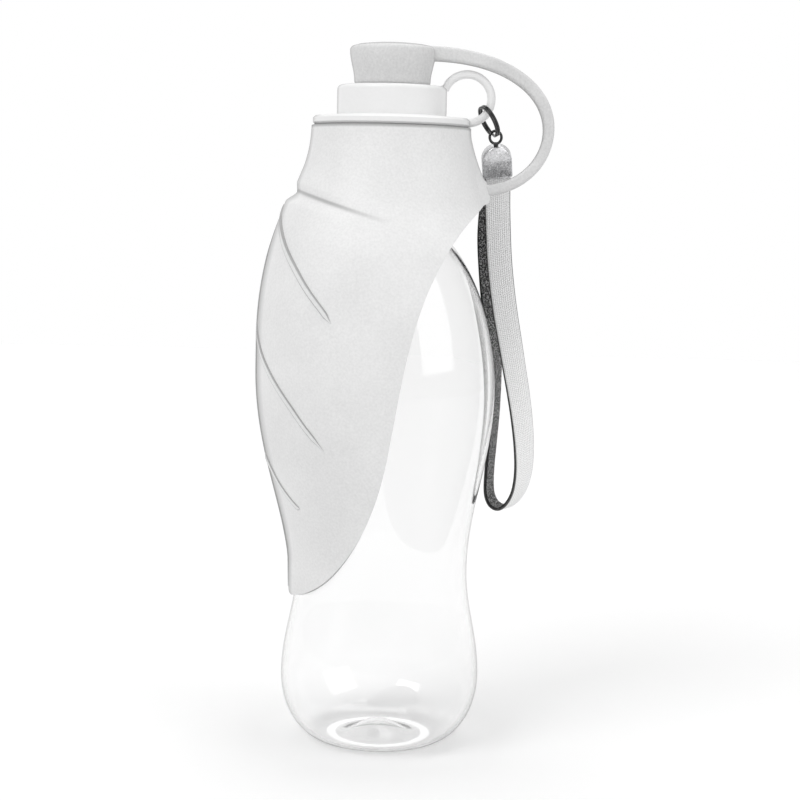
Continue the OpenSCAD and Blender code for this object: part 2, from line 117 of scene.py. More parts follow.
class Finishes(bpy.types.PropertyGroup):
    """Colours and gloss of the bottle's materials."""

    silicone: tone("Silicone", "Colour of the leaf and sleeve", (0.8, 0.8, 0.8))
    # the strap's and stopper's grey is darker than the sleeve's as painted shade on the same
    # silicone
    strap: tone("Strap", "Colour of the strap and stopper", (0.69, 0.69, 0.69))
    cap: tone("Cap", "Colour of the screw cap", (0.86, 0.86, 0.86))
    clear: tone("Clear plastic", "Tint of the bottle", (0.98, 0.98, 0.98))
    hardware: tone("Hardware", "Colour of the ring and eye", (0.012, 0.012, 0.013))
    clamp: tone("Clamp", "Colour of the webbing clamp", (0.6, 0.6, 0.61))
    webbing: tone("Webbing", "Colour of the woven loop", (0.98, 0.98, 0.98))
    # painted shade on the clear plastic where it is seen edge on, darker round its foot
    clear_edge_shade: tone(
        "Clear plastic's edge", "Tint of the bottle's walls seen edge on", (0.15, 0.15, 0.15)
    )
    clear_foot_shade: tone(
        "Clear plastic's foot", "Tint of the thick foot seen edge on", (0.02, 0.02, 0.02)
    )
    clear_density: bpy.props.FloatProperty(
        name="Clear density",
        description="How fast the clear plastic darkens with depth, per metre",
        default=8,
        min=0,
        max=400,
    )
    silicone_roughness: share("Silicone roughness", "Roughness of the silicone", 0.5)


# ---- curves ----
def ease(a, b, t):
    """Half a cosine wave from a to b."""
    return a + (b - a) * (1 - math.cos(math.pi * t)) / 2


def smooth(t):
    """A step from 0 to 1 that starts and ends level."""
    t = min(1.0, max(0.0, t))
    return t * t * (3 - 2 * t)


def risen(x, start, span):
    """A smooth step that leaves 0 at start and reaches 1 after span."""
    return smooth((x - start) / span)


def between(table, x):
    """The value at x, on straight lines through the table's points."""
    if x <= table[0][0]:
        return table[0][1]
    for (x0, y0), (x1, y1) in zip(table, table[1:]):
        if x <= x1:
            return y0 + (y1 - y0) * (x - x0) / (x1 - x0)
    return table[-1][1]


def bezier(points, t):
    """A point on the curve of four control points."""
    a, b, c, d = (Vector(p) for p in points)
    s = 1 - t
    return a * s**3 + b * 3 * t * s * s + c * 3 * t * t * s + d * t**3


def through(points, steps):
    """A smooth line through the points, with steps pieces between neighbours."""
    points = [Vector(p) for p in points]
    padded = [2 * points[0] - points[1], *points, 2 * points[-1] - points[-2]]
    line = []
    for a, b, c, d in zip(padded, padded[1:], padded[2:], padded[3:]):
        for i in range(steps):
            t = i / steps
            first = 2 * b + (c - a) * t
            second = (2 * a - 5 * b + 4 * c - d) * t * t
            third = (3 * b - a - 3 * c + d) * t**3
            line.append(0.5 * (first + second + third))
    line.append(points[-1])
    return line


def hermite(a, slope_a, b, slope_b, span, t):
    """A cubic from a to b over span, with the slopes at its ends."""
    return (
        a * (1 - 3 * t * t + 2 * t**3)
        + slope_a * span * (t - 2 * t * t + t**3)
        + b * (3 * t * t - 2 * t**3)
        + slope_b * span * (t**3 - t * t)
    )


def ahead_at(line, i):
    """The way the line runs at its point i."""
    return (line[min(i + 1, len(line) - 1)] - line[max(i - 1, 0)]).normalized()


def squared(direction, ahead):
    """The direction, turned square to the way ahead."""
    return (direction - ahead * ahead.dot(direction)).normalized()


def turned(centre, *turns):
    """The matrix that turns a piece by (degrees, axis), the last first, and puts it at centre."""
    matrix = Matrix.Translation(Vector(centre))
    for degrees, axis in turns:
        matrix = matrix @ Matrix.Rotation(math.radians(degrees), 4, axis)
    return matrix


# ---- mesh helpers ----
def spun(bm, geom, turns, steps, rise=0, merge=False):
    """Spins part of the mesh round the bottle's axis, and up by rise in all."""
    bmesh.ops.spin(
        bm,
        geom=geom,
        cent=(0, 0, 0),
        axis=(0, 0, 1),
        dvec=(0, 0, rise / steps),
        angle=turns * FULL_TURN,
        steps=steps,
        use_merge=merge,
    )


def lathe(bm, profile, steps=128, closed=False, marks=None):
    """Spins the profile of (radius, height) points round the axis; marks is (layer, values)."""
    verts = [bm.verts.new((r, 0, z)) for r, z in profile]
    for v, mark in zip(verts, marks[1] if marks else ()):
        v[marks[0]] = mark
    pairs = list(zip(verts, verts[1:])) + ([(verts[-1], verts[0])] if closed else [])
    edges = [bm.edges.new(pair) for pair in pairs]
    spun(bm, verts + edges, 1, steps, merge=True)
    close_up(bm)


def close_up(bm):
    """Merges doubles, drops edges with no face and turns the faces outwards."""
    bmesh.ops.remove_doubles(bm, verts=bm.verts, dist=1e-4)
    bmesh.ops.delete(bm, geom=[e for e in bm.edges if e.is_wire], context="EDGES")
    bmesh.ops.recalc_face_normals(bm, faces=bm.faces)


def rounded_section(bm, half_width, half_height, corner, steps):
    """A loop of vertices in the XY plane: a rectangle with round corners."""
    bmesh.ops.create_circle(bm, segments=4 * (steps + 1), radius=1)
    verts = sorted(bm.verts, key=lambda v: math.atan2(v.co.y, v.co.x) % FULL_TURN)
    corners = [(1, 1), (-1, 1), (-1, -1), (1, -1)]
    places = []
    for k, (sx, sy) in enumerate(corners):
        for i in range(steps + 1):
            a = math.pi / 2 * (k + i / steps)
            x = sx * (half_width - corner) + corner * math.cos(a)
            y = sy * (half_height - corner) + corner * math.sin(a)
            places.append(Vector((x, y, 0)))
    for v, place in zip(verts, places):
        v.co = place
    return list(bm.edges)


def place_of(origin, side, up, tangent, scale=(1, 1)):
    """The matrix that puts a section drawn in XY at a station of a sweep."""
    m = Matrix.Identity(4)
    for row in range(3):
        m[row][0], m[row][1] = side[row] * scale[0], up[row] * scale[1]
        m[row][2], m[row][3] = tangent[row], origin[row]
    return m


def sweep(bm, edges, stations, tag=None):
    """Carries the section's edges through the stations and closes both ends."""
    verts = list({v for e in edges for v in e.verts})
    bmesh.ops.transform(bm, matrix=stations[0], verts=verts)
    first, travelled, last = edges, 0.0, stations[0]
    along = bm.verts.layers.float.get(tag) if tag else None
    for station in stations[1:]:
        made = bmesh.ops.extrude_edge_only(bm, edges=edges)["geom"]
        edges = [g for g in made if isinstance(g, bmesh.types.BMEdge) and g.is_boundary]
        verts = [g for g in made if isinstance(g, bmesh.types.BMVert)]
        bmesh.ops.transform(bm, matrix=station @ last.inverted(), verts=verts)
        travelled += (station.translation - last.translation).length
        if along:
            for v in verts:
                v[along] = travelled
        last = station
    bmesh.ops.edgeloop_fill(bm, edges=first)
    bmesh.ops.edgeloop_fill(bm, edges=edges)
    close_up(bm)


def mesh_of(bm, name):
    """The bmesh as a mesh of this name."""
    mesh = bpy.data.meshes.new(name)
    bm.to_mesh(mesh)
    bm.free()
    return mesh


def add_mesh(bm, part):
    """Adds one bmesh to another."""
    mesh = mesh_of(part, "part")
    bm.from_mesh(mesh)
    bpy.data.meshes.remove(mesh)


def linked(name, data):
    """A new object in the scene."""
    item = bpy.data.objects.new(name, data)
    bpy.context.scene.collection.objects.link(item)
    return item


def finish_piece(bm, name, material, body=None, node=None, sharp=40):
    """Turns a bmesh in millimetres into a piece in metres that rides on its body."""
    bmesh.ops.scale(bm, vec=(MM, MM, MM), verts=bm.verts)
    mesh = mesh_of(bm, name)
    mesh.shade_smooth()
    mesh.set_sharp_from_angle(angle=math.radians(sharp))
    mesh.materials.append(material)
    piece = linked(name, mesh)
    if body:
        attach(piece, body)
    if node:
        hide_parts(*([node] if isinstance(node, str) else node))
    return piece


# ---- nodes ----
def fill(tree, node, values):
    """Links outputs to the node's sockets and sets the other sockets to plain values."""
    for label, value in values.items():
        if isinstance(value, bpy.types.NodeSocket):
            tree.links.new(value, node.inputs[label])
        else:
            node.inputs[label].default_value = value


def added(tree, kind, values, **settings):
    """A new node with its settings made and its sockets filled."""
    node = tree.nodes.new(kind)
    for name, setting in settings.items():
        setattr(node, name, setting)
    fill(tree, node, values)
    return node


def maths(tree, operation, *values):
    """What the operation makes of outputs and plain numbers."""
    values = dict(enumerate(values))
    return added(tree, "ShaderNodeMath", values, operation=operation).outputs[0]


def mapped(tree, value, low=0, high=1, first=0, last=1, kind="LINEAR"):
    """Runs from first to last while the value goes from low to high."""
    values = {"Value": value, "From Min": low, "From Max": high, "To Min": first, "To Max": last}
    return added(tree, "ShaderNodeMapRange", values, interpolation_type=kind).outputs["Result"]


def scaled(tree, colour, by):
    """The colour times a number."""
    values = {0: colour, "Scale": by}
    return added(tree, "ShaderNodeVectorMath", values, operation="SCALE").outputs[0]


def mixed(tree, factor, first, second):
    """A colour on the way from the first to the second."""
    values = {"Factor": factor, "A": first, "B": second}
    return added(tree, "ShaderNodeMix", values, data_type="RGBA").outputs["Result"]


def noise(tree, place, scale, detail):
    """Noise from 0 to 1 with about this many spots to the metre."""
    values = {"Vector": place, "Scale": scale, "Detail": detail}
    return added(tree, "ShaderNodeTexNoise", values).outputs["Fac"]


def relief(tree, height, strength, depth):
    """The normal of a relief that is this many millimetres deep."""
    values = {"Strength": strength, "Distance": depth * MM, "Height": height}
    return added(tree, "ShaderNodeBump", values).outputs["Normal"]


def attribute(tree, name):
    """A number that the mesh holds at each vertex."""
    return added(tree, "ShaderNodeAttribute", {}, attribute_name=name).outputs["Fac"]


def object_place(tree):
    """The shaded point in the piece's own space."""
    return tree.nodes.new("ShaderNodeTexCoord").outputs["Object"]


def edge_on(tree):
    """0 on a face turned to the eye and 1 on one seen edge on."""
    return added(tree, "ShaderNodeLayerWeight", {"Blend": 0.5}).outputs["Facing"]


def seen(tree):
    """1 for what the camera, a mirror or glass sees."""
    path = tree.nodes.new("ShaderNodeLightPath").outputs
    direct = maths(tree, "MAXIMUM", path["Is Camera Ray"], path["Is Glossy Ray"])
    return maths(tree, "MAXIMUM", direct, path["Is Transmission Ray"])


def mottle_group():
    """Soft cloudy variation and a fine grain, both on Object coordinates."""
    found = bpy.data.node_groups.get("cloud_and_grain")
    if found:
        return found
    group = bpy.data.node_groups.new("cloud_and_grain", "ShaderNodeTree")
    add = group.interface.new_socket
    add(name="Vector", in_out="INPUT", socket_type="NodeSocketVector")
    for label, value in (("Cloud scale", 60), ("Grain scale", 1500), ("Amount", 0.1)):
        add(name=label, in_out="INPUT", socket_type="NodeSocketFloat").default_value = value
    for label in ("Shade", "Grain"):
        add(name=label, in_out="OUTPUT", socket_type="NodeSocketFloat")
    given = group.nodes.new("NodeGroupInput").outputs
    cloud = noise(group, given["Vector"], given["Cloud scale"], detail=4)
    grain = noise(group, given["Vector"], given["Grain scale"], detail=2)
    # each is 0.5 on average, so their sum less 1 swings about 0
    swing = maths(group, "SUBTRACT", maths(group, "ADD", cloud, grain), 1)
    shade = maths(group, "MULTIPLY_ADD", swing, given["Amount"], 1)
    fill(group, group.nodes.new("NodeGroupOutput"), {"Shade": shade, "Grain": grain})
    return group


# ---- materials ----
# Radians of the weave's waves to the millimetre: along the tape, their slant, and across it
YARN_ROWS, YARN_SLANT, YARN_RIDGES = 8.0, 3.0, 9.0
# Where the painted shade on the webbing's edges starts and is full, from its middle
EDGE_SHADE = (3.75, 4.05)


def new_material(name):
    """A material with its nodes and its Principled shader."""
    material = bpy.data.materials.new(name)
    material.use_nodes = True
    return material, material.node_tree, material.node_tree.nodes["Principled BSDF"]


def mottled(name, colour, roughness, cloud, grain, amount, bump, depth=0.05):
    """A plain-coloured material with cloudy shade, fine grain in its bump and painted shade where
    it is seen edge on.
    """
    material, tree, shader = new_material(name)
    place = object_place(tree)
    values = {"Vector": place, "Cloud scale": cloud, "Grain scale": grain, "Amount": amount}
    group = added(tree, "ShaderNodeGroup", values, node_tree=mottle_group()).outputs
    # painted shade: faces seen edge on are darkened, which draws dark outlines
    painted_edge_shade = mapped(tree, edge_on(tree), low=0.72, first=1, last=0.35)
    tint = scaled(tree, colour, maths(tree, "MULTIPLY", group["Shade"], painted_edge_shade))
    wear = maths(tree, "MULTIPLY", group["Shade"], roughness)
    grained = relief(tree, group["Grain"], bump, depth)
    fill(tree, shader, {"Base Color": tint, "Roughness": wear, "Normal": grained})
    return material, tree, shader


def silicone_leaf(name, finishes):
    """Matt silicone of the leaf and sleeve, with painted shade in its creases, on the veins' sides
    and under the cap's flange.
    """
    roughness = finishes.silicone_roughness
    material, tree, shader = mottled(
        name, finishes.silicone, roughness, cloud=45, grain=1300, amount=0.2, bump=0.4, depth=0.08
    )
    tint = shader.inputs["Base Color"].links[0].from_socket
    # painted shade, read from the mesh's painted_shade values
    shade = mapped(tree, attribute(tree, "painted_shade"), first=1, last=0.45)
    fill(tree, shader, {"Base Color": scaled(tree, tint, shade), "Sheen Weight": 0.15})
    return material


def silicone_strap(name, finishes):
    """The strap's and stopper's silicone, less matt, in a darker grey that is painted shade."""
    roughness = finishes.silicone_roughness * 0.9
    return mottled(
        name, finishes.strap, roughness, cloud=60, grain=1300, amount=0.3, bump=0.4, depth=0.08
    )[0]


def cap_satin(name, finishes):
    """Satin moulded plastic."""
    return mottled(name, finishes.cap, 0.35, cloud=60, grain=900, amount=0.04, bump=0.15)[0]


def gloss_black(name, finishes):
    """Glossy black of the ring and the eye."""
    return mottled(name, finishes.hardware, 0.16, cloud=200, grain=2500, amount=0.3, bump=0.1)[0]


def smoked_metal(name, finishes):
    """Pale smoked metal with a mottled polish."""
    material, _, shader = mottled(
        name, finishes.clamp, 0.3, cloud=420, grain=1700, amount=1.2, bump=0.6, depth=0.12
    )
    shader.inputs["Metallic"].default_value = 1
    return material


def clear_plastic(name, finishes):
    """Clear blown plastic with painted shade where its outer face is seen edge on, darkest round
    its foot.
    """
    material, tree, shader = new_material(name)
    # painted shade: only the outer face darkens where seen edge on, which draws the outline
    steep = mapped(tree, edge_on(tree), low=0.76, high=0.9)
    outline = maths(tree, "MULTIPLY", steep, attribute(tree, "outside"))
    # the painted outline shade is darkest round the foot, where the blown wall is thickest
    split = added(tree, "ShaderNodeSeparateXYZ", {0: object_place(tree)})
    foot = mapped(tree, split.outputs["Z"], low=22 * MM, high=4 * MM)
    edge = mixed(tree, foot, (*finishes.clear_edge_shade, 1), (*finishes.clear_foot_shade, 1))
    tint = mixed(tree, outline, (*finishes.clear, 1), edge)
    values = {"Base Color": tint, "Roughness": 0.02, "IOR": 1.49, "Transmission Weight": 1}
    fill(tree, shader, values)
    # long paths through the wall darken, which draws the bottle's edges
    values = {"Color": (0.5, 0.5, 0.5, 1), "Density": finishes.clear_density}
    depth = added(tree, "ShaderNodeVolumeAbsorption", values)
    fill(tree, tree.nodes["Material Output"], {"Volume": depth.outputs["Volume"]})
    return material


def woven_webbing(name, finishes):
    """Woven webbing: pale outside, with painted shade on its inner face and along both edges."""
    material, tree, shader = new_material(name)
    across = attribute(tree, "across")
    side = maths(tree, "ABSOLUTE", across)
    # slanting rows of yarn that meet in ridges along the tape
    along = maths(tree, "MULTIPLY", attribute(tree, "along"), YARN_ROWS)
    rows = maths(tree, "ADD", along, maths(tree, "MULTIPLY", side, YARN_SLANT))
    ridges = maths(tree, "MULTIPLY", across, YARN_RIDGES)
    weave = maths(tree, "ADD", maths(tree, "SINE", rows), maths(tree, "SINE", ridges))
    raised = maths(tree, "ADD", maths(tree, "MULTIPLY", weave, 0.25), 0.5)
    # painted shade darkens the inner face, where pale flecks show
    fleck = noise(tree, object_place(tree), 2300, detail=2)
    inner = mapped(tree, fleck, low=0.48, high=0.6, first=0.06, last=0.6)
    outer = mapped(tree, attribute(tree, "face"), low=-0.3, high=0.3)
    faced = maths(tree, "MAXIMUM", inner, outer)
    # painted shade darkens both edges
    lit = maths(tree, "MULTIPLY", faced, mapped(tree, side, *EDGE_SHADE, first=1, last=0.12))
    shade = maths(tree, "MULTIPLY", mapped(tree, raised, first=0.85, last=1.15), lit)
    tint = scaled(tree, finishes.webbing, shade)
    weave = relief(tree, raised, 0.7, 0.25)
    fill(tree, shader, {"Base Color": tint, "Roughness": 0.85, "Normal": weave})
    return material


def surface(make):
    """The material that this function makes, made at its first use."""
    found = bpy.data.materials.get(make.__name__)
    return found or make(make.__name__, bpy.context.scene.bottle_finishes)


# ---- camera ----
CAMERA_PLACE = (0, -593, 181)
# Pitch, yaw and roll in degrees
CAMERA_TURNS = (6.46, 0.47, 1.34)
CAMERA_LENS = 81.26


class SCENE_OT_bottle_camera(bpy.types.Operator):
    """Places the camera level with the collar, in front of the bottle."""

    bl_idname = "scene.bottle_camera"
    bl_label = "Camera"

    def execute(self, context):
        pitch, yaw, roll = map(math.radians, CAMERA_TURNS)
        ahead = Vector(
            (math.sin(yaw) * math.cos(pitch), math.cos(yaw) * math.cos(pitch), -math.sin(pitch))
        )
        right = Vector((math.cos(yaw), -math.sin(yaw), 0))
        up = right.cross(ahead)
        side = right * math.cos(roll) + up * math.sin(roll)
        top = up * math.cos(roll) - right * math.sin(roll)
        data = bpy.data.cameras.new("camera")
        data.sensor_width = 36
        data.lens = CAMERA_LENS
        data.clip_start, data.clip_end = 0.01, 20
        camera = linked("camera", data)
        camera.matrix_world = place_of(Vector(CAMERA_PLACE) * MM, side, top, -ahead)
        context.scene.camera = camera
        return {"FINISHED"}


# ---- wrist webbing ----
# The loop's route from the clamp, down and back: x, y, z and the turn of its width
WEBBING_ROUTE = (
    (35.1, 5.57, 189.9, 2), (35.4, 6.72, 187.1, 2), (35.6, 8, 183, 2), (35.8, 9.2, 178, 2),
    (36.3, 10.4, 170, 3), (37, 11.4, 161, 4), (38.1, 11.9, 152, 6), (39.5, 11.9, 143, 9),
    (41.2, 11.6, 134, 13), (42.9, 11, 125, 18), (44.6, 10.2, 116, 23), (46, 9.2, 107, 29),
    (46.9, 8.3, 98, 36), (46.9, 7.7, 90, 44), (45.7, 7.7, 83.5, 52), (43.2, 8.2, 79, 59),
    (40.2, 9.3, 77, 64), (37.4, 10.8, 78.2, 67), (35.9, 12.3, 82, 69), (35.9, 14, 89, 70),
    (36.6, 15.6, 98, 70), (37.3, 16.9, 108, 69), (37.4, 18, 118, 65), (36.9, 18.8, 128, 57),
    (36, 19.2, 138, 45), (35.1, 19.1, 148, 31), (34.4, 18.4, 158, 18), (33.9, 17, 167, 8),
    (34, 15.3, 174, 3), (34.5, 13.3, 179.5, 2), (35.1, 10.8, 184.5, 2), (35.4, 8.7, 187.6, 2),
    (35.1, 6.9, 190.4, 2),
)


def webbing_stations(steps):
    """Smooth stations of the webbing, as (point, width direction, normal, tangent)."""
    line = through([(x, y, z) for x, y, z, _ in WEBBING_ROUTE], steps)
    turns = [v.x for v in through([(a, 0, 0) for *_, a in WEBBING_ROUTE], steps)]
    stations = []
    for i, (point, turn) in enumerate(zip(line, turns)):
        tangent = ahead_at(line, i)
        wide = Vector((math.cos(math.radians(turn)), math.sin(math.radians(turn)), 0))
        wide = squared(wide, tangent)
        stations.append((point, wide, tangent.cross(wide), tangent))
    return stations


class MESH_OT_bottle_webbing(bpy.types.Operator):
    """Weaves the wrist loop's flat webbing."""

    bl_idname = "mesh.bottle_webbing"
    bl_label = "Wrist webbing"

    def execute(self, context):
        sizes = context.scene.wrist_sizes
        half, thick = sizes.webbing_width / MM / 2, sizes.webbing_thickness / MM / 2
        bm = bmesh.new()
        bm.verts.layers.float.new("along")
        across = bm.verts.layers.float.new("across")
        face = bm.verts.layers.float.new("face")
        edges = rounded_section(bm, half, thick, thick * 0.8, 2)
        long_edges = [e for e in edges if e.calc_length() > half]
        bmesh.ops.subdivide_edges(bm, edges=long_edges, cuts=11)
        for v in bm.verts:
            v[across] = v.co.x
            v[face] = v.co.y / thick
        sweep(bm, list(bm.edges), [place_of(*s) for s in webbing_stations(5)], "along")
        piece = finish_piece(
            bm, "wrist_loop", surface(woven_webbing), "clamp", "wrist_webbing"
        )
        return {"FINISHED"}


# ---- bottle ----
FOOT_R, FOOT_W, PUNT = 17.5, 3.0, 4.5
BASE_Z, WAIST_Z, BELLY_Z, SHOULDER_RISE = 22.0, 58.0, 116.0, 60.5
NECK_R, NECK_WALL, BORE_R, NECK_TOP = 17.0, 1.8, 12.8, 212.6
LEDGE_R, LEDGE_TOP, LEDGE_DEPTH = 22.0, 200.7, 2.8
THREAD_R, THREAD_BEAD, THREAD_FOOT = 15.4, 0.45, 2.6
THREAD_PITCH, THREAD_TURNS, THREAD_STEPS = 3.0, 2, 128
# Pieces of the profile over the push-up, round the foot and up the body
PUNT_STEPS, FOOT_STEPS, BODY_STEPS = 12, 16, 90


def body_radius(sizes, z):
    """Outer radius of the blown body above its base bulge."""
    base, waist, belly = (
        r / MM for r in (sizes.base_radius, sizes.waist_radius, sizes.belly_radius)
    )
    if z < WAIST_Z:
        return ease(base, waist, (z - BASE_Z) / (WAIST_Z - BASE_Z))
    if z < BELLY_Z:
        return ease(waist, belly, (z - WAIST_Z) / (BELLY_Z - WAIST_Z))
    return belly * math.sqrt(1 - ((z - BELLY_Z) / SHOULDER_RISE) ** 2)


class MESH_OT_bottle_body(bpy.types.Operator):
    """Blows the clear bottle with its pushed-up base, neck ledge and thread."""

    bl_idname = "mesh.bottle_body"
    bl_label = "Bottle"

    def execute(self, context):
        sizes = context.scene.bottle_sizes
        wall = sizes.wall / MM
        base, belly = sizes.base_radius / MM, sizes.belly_radius / MM
        top = BELLY_Z + SHOULDER_RISE * math.sqrt(1 - (NECK_R / belly) ** 2)
        outer, inner = [], []
        for i in range(PUNT_STEPS + 1):
            r = (FOOT_R - FOOT_W) * i / PUNT_STEPS
            z = PUNT * (1 + math.cos(math.pi * i / PUNT_STEPS)) / 2
            outer.append((r, z))
            inner.append((r, z + wall))
        for i in range(FOOT_STEPS + 1):
            a = math.pi / 2 * i / FOOT_STEPS
            r, z = FOOT_R + (base - FOOT_R) * math.sin(a), BASE_Z * (1 - math.cos(a))
            outer.append((r, z))
            inner.append((r - wall * math.sin(a), z + wall * math.cos(a)))
        for i in range(1, BODY_STEPS + 1):
            z = BASE_Z + (top - BASE_Z) * i / BODY_STEPS
            r = body_radius(sizes, z)
            outer.append((r, z))
            inner.append((r - wall, z - (wall * 0.2 if z > BELLY_Z else 0)))
        ledge = LEDGE_TOP - LEDGE_DEPTH
        outer += [
            (NECK_R, top + 1), (NECK_R, ledge - 1), (LEDGE_R - 0.6, ledge), (LEDGE_R, ledge + 0.6),
            (LEDGE_R, LEDGE_TOP - 0.4), (LEDGE_R - 0.4, LEDGE_TOP), (THREAD_R, LEDGE_TOP),
            (THREAD_R, NECK_TOP - 0.6), (THREAD_R - 0.6, NECK_TOP),
        ]
        inner += [
            (NECK_R - NECK_WALL, top + 1), (NECK_R - NECK_WALL, ledge - 8), (BORE_R, ledge - 2),
            (BORE_R, NECK_TOP - 0.4), (BORE_R + 0.4, NECK_TOP),
        ]
        bm = bmesh.new()
        outside = bm.verts.layers.float.new("outside")
        lathe(bm, outer + inner[::-1], marks=(outside, [1] * len(outer) + [0] * len(inner)))
        clear = surface(clear_plastic)
        finish_piece(bm, "clear_bottle", clear, "bottle_and_sleeve", "bottle")
        self.add_thread(clear)
        return {"FINISHED"}

    def add_thread(self, clear):
        """Winds the thread's bead round the neck."""
        bm = bmesh.new()
        made = bmesh.ops.create_circle(bm, segments=10, radius=THREAD_BEAD)
        bmesh.ops.rotate(bm, verts=made["verts"], matrix=Matrix.Rotation(math.pi / 2, 3, "X"))
        start = (THREAD_R - 0.1, 0, LEDGE_TOP + THREAD_FOOT)
        bmesh.ops.translate(bm, verts=made["verts"], vec=start)
        rise = THREAD_PITCH * THREAD_TURNS
        spun(bm, bm.verts[:] + bm.edges[:], THREAD_TURNS, THREAD_STEPS, rise)
        bmesh.ops.holes_fill(bm, edges=[e for e in bm.edges if e.is_boundary])
        close_up(bm)
        finish_piece(bm, "neck_thread", clear, "bottle_and_sleeve")


# ---- silicone moulding ----
RIM_Z, FOLD_Z, FOLD_R, FOLD_STEP, FOLD_DIP = 203.2, 181.0, 30.4, 3.3, 9.4
BROW_Z, BROW_LOW = 179.0, 161.0
LEAF_HIGH_Z, LEAF_LOW_Z, LEAF_FOOT_Z, TIP_Z = 134.0, 124.0, 60.0, 49.0
LEAF_TIP_R = 31.0
LOWER_EDGE = ((-29.3, 0, 49.9), (-20.5, 0, 53.2), (-5, 0, 66), (0.7, 0, 98.2))
UPPER_EDGE = ((0.7, 0, 98.2), (5.5, 0, 125), (7.5, 0, 156.5), (28.6, 0, 176.5))
# The edge's start at the tip and its end at the strap's root, as (height, x)
EDGE_FOOT = ((TIP_Z, -30.9), (TIP_Z + 0.3, -30.2))
EDGE_TOP = ((181.3, 33), (190, 60))
# The mesh's rows: close ones at the tip, fold and rim, and the step between the others
TIP_ROWS = (48.8, 49.1, 49.4, 49.8, 50.4)
FOLD_ROWS = (
    175, 175.8, 176.6, 177.3, 177.8, 178.2, 178.5, 178.75, 178.95, 179.1, 179.25, 179.4, 179.9,
    180.4, 180.9, 181.3, 181.7, 182.2, 182.8, 183.4, 184, 184.5, 184.9, 185.4, 186,
)
RIM_ROWS = (202, 202.6, 203)
ROW_STEP, COLUMNS = 1.05, 180
# Smooth steps, as (start, span): the fold's dip in height, height and angle from the midrib,
DIP_LOW, DIP_HIGH, DIP_SIDE = (150, 28), (182, 16), (1.5, 0.6)
# the brow's end and the painted shade under the cap in height, and the sweep to the strap in Y
BROW_END, RIM_SHADE, ROOT_END = (178.3, 3.2), (202.2, 0.6), (1.5, 7.5)
# The tip's face rounds in by TIP_DEPTH over TIP_ROUND
TIP_ROUND, TIP_DEPTH = 2.2, 0.5
# Height and half height of the painted shade along the fold's crease
CREASE_SHADE_Z, CREASE_SHADE_HALF = 182, 0.9
# The share of the full wall at each height
WALL_SHARE = ((48, 0.6), (80, 1))
# The rim turned in over the neck's ledge, as (radius, height)
LIP = ((25.5, 203.15), (25, 203.2), (20, 203.2), (15.7, 203.2))
# Side veins: half their width, then points as (angle from the midrib, height)
VEINS = (
    (
        1.25, (3, 177), (18.5, 171), (30, 165.8), (42, 158.8), (52, 151.5), (60.5, 145.6),
        (66, 141.2),
    ),
    (1.1, (0, 140), (12, 134), (19, 129.7), (32, 122.3), (44, 114.7), (53, 107.8), (62, 101.2)),
    (0.85, (0, 96.5), (14, 93), (26, 86.8), (37, 81.7), (41, 80.5)),
)
# The midrib: half its width, its foot, and the step and number of its points
MIDRIB_HALF, MIDRIB_FOOT, MIDRIB_STEP, MIDRIB_POINTS = 1.3, 50.5, 2.5, 50
# How far the sleeve flares just above the fold
FOLD_FLARE = (
    (181.4, 0), (182, 0.15), (183, 0.55), (184.6, 1.1), (185.4, 1.05), (188, 0.7), (190.2, 0.35),
    (194, 0.1), (197, 0),
)
# How far the sleeve sweeps out to the strap's root at each height
ROOT_FLARE = (
    (176, 0), (179, 1.5), (182, 3), (185.3, 3), (187, 2), (190, 1.4), (194, 0.8), (200, 0),
)


def leaf_side_radius(sizes, z):
    """The leaf's radius between its belly and the fold."""
    belly = sizes.leaf_radius / MM
    t = (z - LEAF_HIGH_Z) / (BROW_Z - LEAF_HIGH_Z)
    return belly - (belly - FOLD_R - FOLD_STEP) * t * t


def moulding_radius(sizes, z):
    """Outer radius of the moulding away from its fold."""
    belly, rim = sizes.leaf_radius / MM, sizes.rim_radius / MM
    if z > FOLD_Z:
        return rim + (FOLD_R - rim) * max(0, (RIM_Z - z) / (RIM_Z - FOLD_Z)) ** 1.7
    if z > BROW_LOW:
        start = leaf_side_radius(sizes, BROW_LOW)
        span = FOLD_Z - BROW_LOW
        return hermite(start, -0.24, FOLD_R, -0.34, span, (z - BROW_LOW) / span)
    if z > LEAF_HIGH_Z:
        return leaf_side_radius(sizes, z)
    if z > LEAF_LOW_Z:
        return belly
    if z > LEAF_FOOT_Z:
        return ease(LEAF_TIP_R, belly, ((z - LEAF_FOOT_Z) / (LEAF_LOW_Z - LEAF_FOOT_Z)) ** 0.8)
    return LEAF_TIP_R


def edge_table():
    """The leaf's edge as (height, x), from its tip to the strap's root."""
    points = list(EDGE_FOOT)
    for curve in (LOWER_EDGE, UPPER_EDGE):
        points += [(p.z, p.x) for p in (bezier(curve, i / 40) for i in range(1, 41))]
    return points + list(EDGE_TOP)


